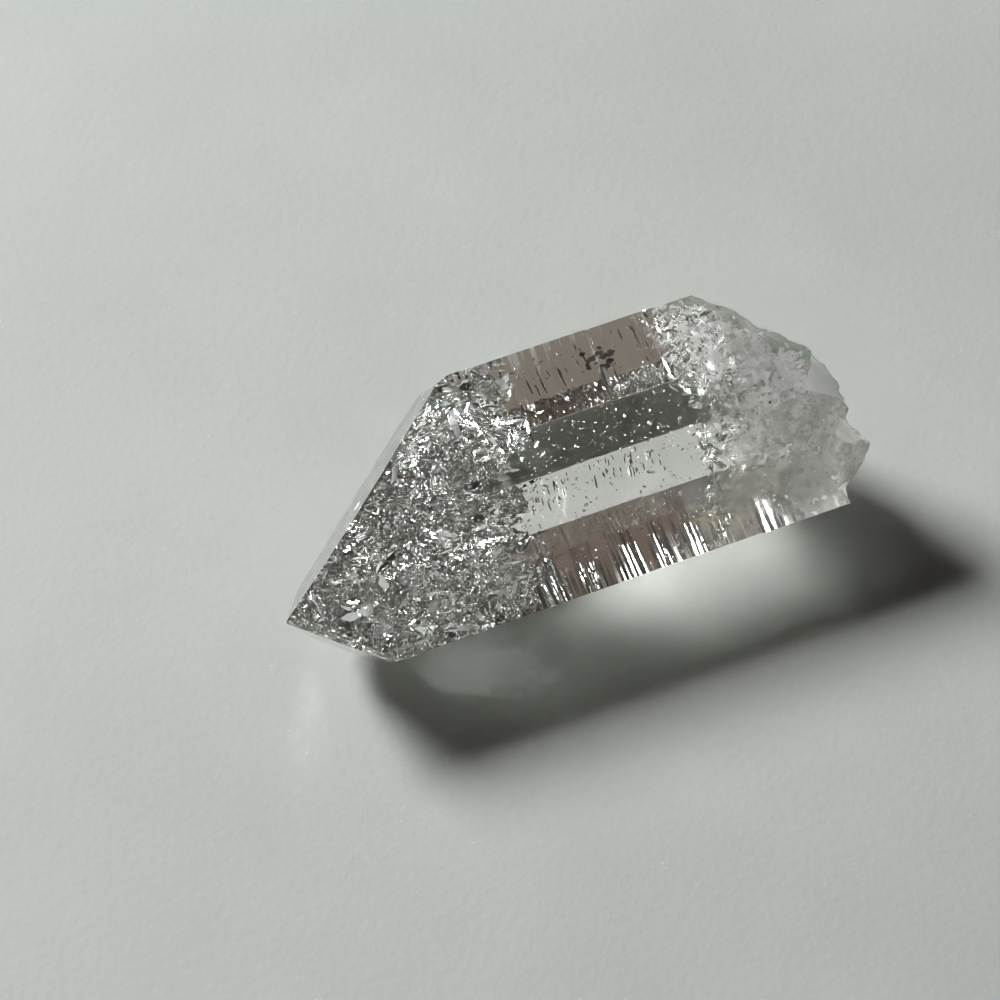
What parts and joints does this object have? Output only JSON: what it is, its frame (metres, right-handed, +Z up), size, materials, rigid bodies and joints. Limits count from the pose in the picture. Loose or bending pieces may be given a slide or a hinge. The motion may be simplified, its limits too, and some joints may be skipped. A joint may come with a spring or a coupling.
{
  "type": "quartz crystal",
  "caption": "Clear quartz point: a six-sided natural prism with a sloping pointed tip and a broken, frosted root, lying on one long face.",
  "frame": {"origin": "under the middle of the crystal's box, on the plane that it rests on", "axes": "+X along the crystal from its tip to its broken root, +Y to the back, +Z up"},
  "size_m": [0.0722, 0.0346, 0.0299],
  "materials": {
    "clear_quartz": "clear and glossy, frosted towards the root"
  },
  "bodies": {
    "root": {"quartz_crystal": "clear_quartz"}
  },
  "joints": []
}
